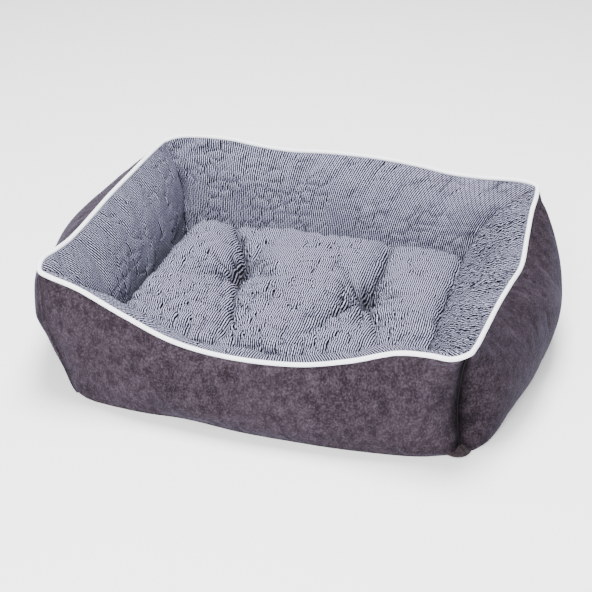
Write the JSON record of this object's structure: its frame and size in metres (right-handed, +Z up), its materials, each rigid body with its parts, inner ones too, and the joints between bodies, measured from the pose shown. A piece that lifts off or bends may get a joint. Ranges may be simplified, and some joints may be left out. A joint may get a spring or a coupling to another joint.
{
  "type": "pet cushion bed",
  "caption": "Rectangular bolster bed for a small pet, with a low front step, piped rim and a loose tufted cushion that lifts out",
  "frame": {"origin": "middle of the underside, on the floor that the bed stands on", "axes": "+X along the bed's length to the right, -Y towards the low front step, +Z up"},
  "size_m": [0.697, 0.4916, 0.201],
  "materials": {
    "plush": "short brushed plush, dark purple-grey",
    "striped_lining": "woven cotton with fine dark and pale grey dashes",
    "white_piping": "white bias tape over a cord",
    "polyester_fill": "loose white polyester fibre",
    "base_cloth": "dark non-slip non-woven cloth",
    "thread": "dark polyester thread"
  },
  "bodies": {
    "bed": {"front_outer_panel": "plush", "back_outer_panel": "plush", "left_outer_panel": "plush", "right_outer_panel": "plush", "front_lining": "striped_lining", "back_lining": "striped_lining", "left_lining": "striped_lining", "right_lining": "striped_lining", "front_bolster_fill": "polyester_fill", "back_bolster_fill": "polyester_fill", "left_bolster_fill": "polyester_fill", "right_bolster_fill": "polyester_fill", "front_left_corner_seam": "plush", "front_right_corner_seam": "plush", "back_right_corner_seam": "plush", "back_left_corner_seam": "plush", "rim_piping": "white_piping", "rim_piping_cord": "white_piping", "base_cloth": "base_cloth", "base_wadding": "polyester_fill", "floor_cloth": "plush"},
    "cushion": {"cushion_top_panel": "striped_lining", "cushion_bottom_panel": "plush", "cushion_fill": "polyester_fill", "left_tuft_stitch": "thread", "right_tuft_stitch": "thread"}
  },
  "joints": [
    {"name": "cushion_lift", "type": "slide", "parent": "bed", "child": "cushion", "axis": [0, 0, 1], "range_m": [0, 0.25]}
  ]
}
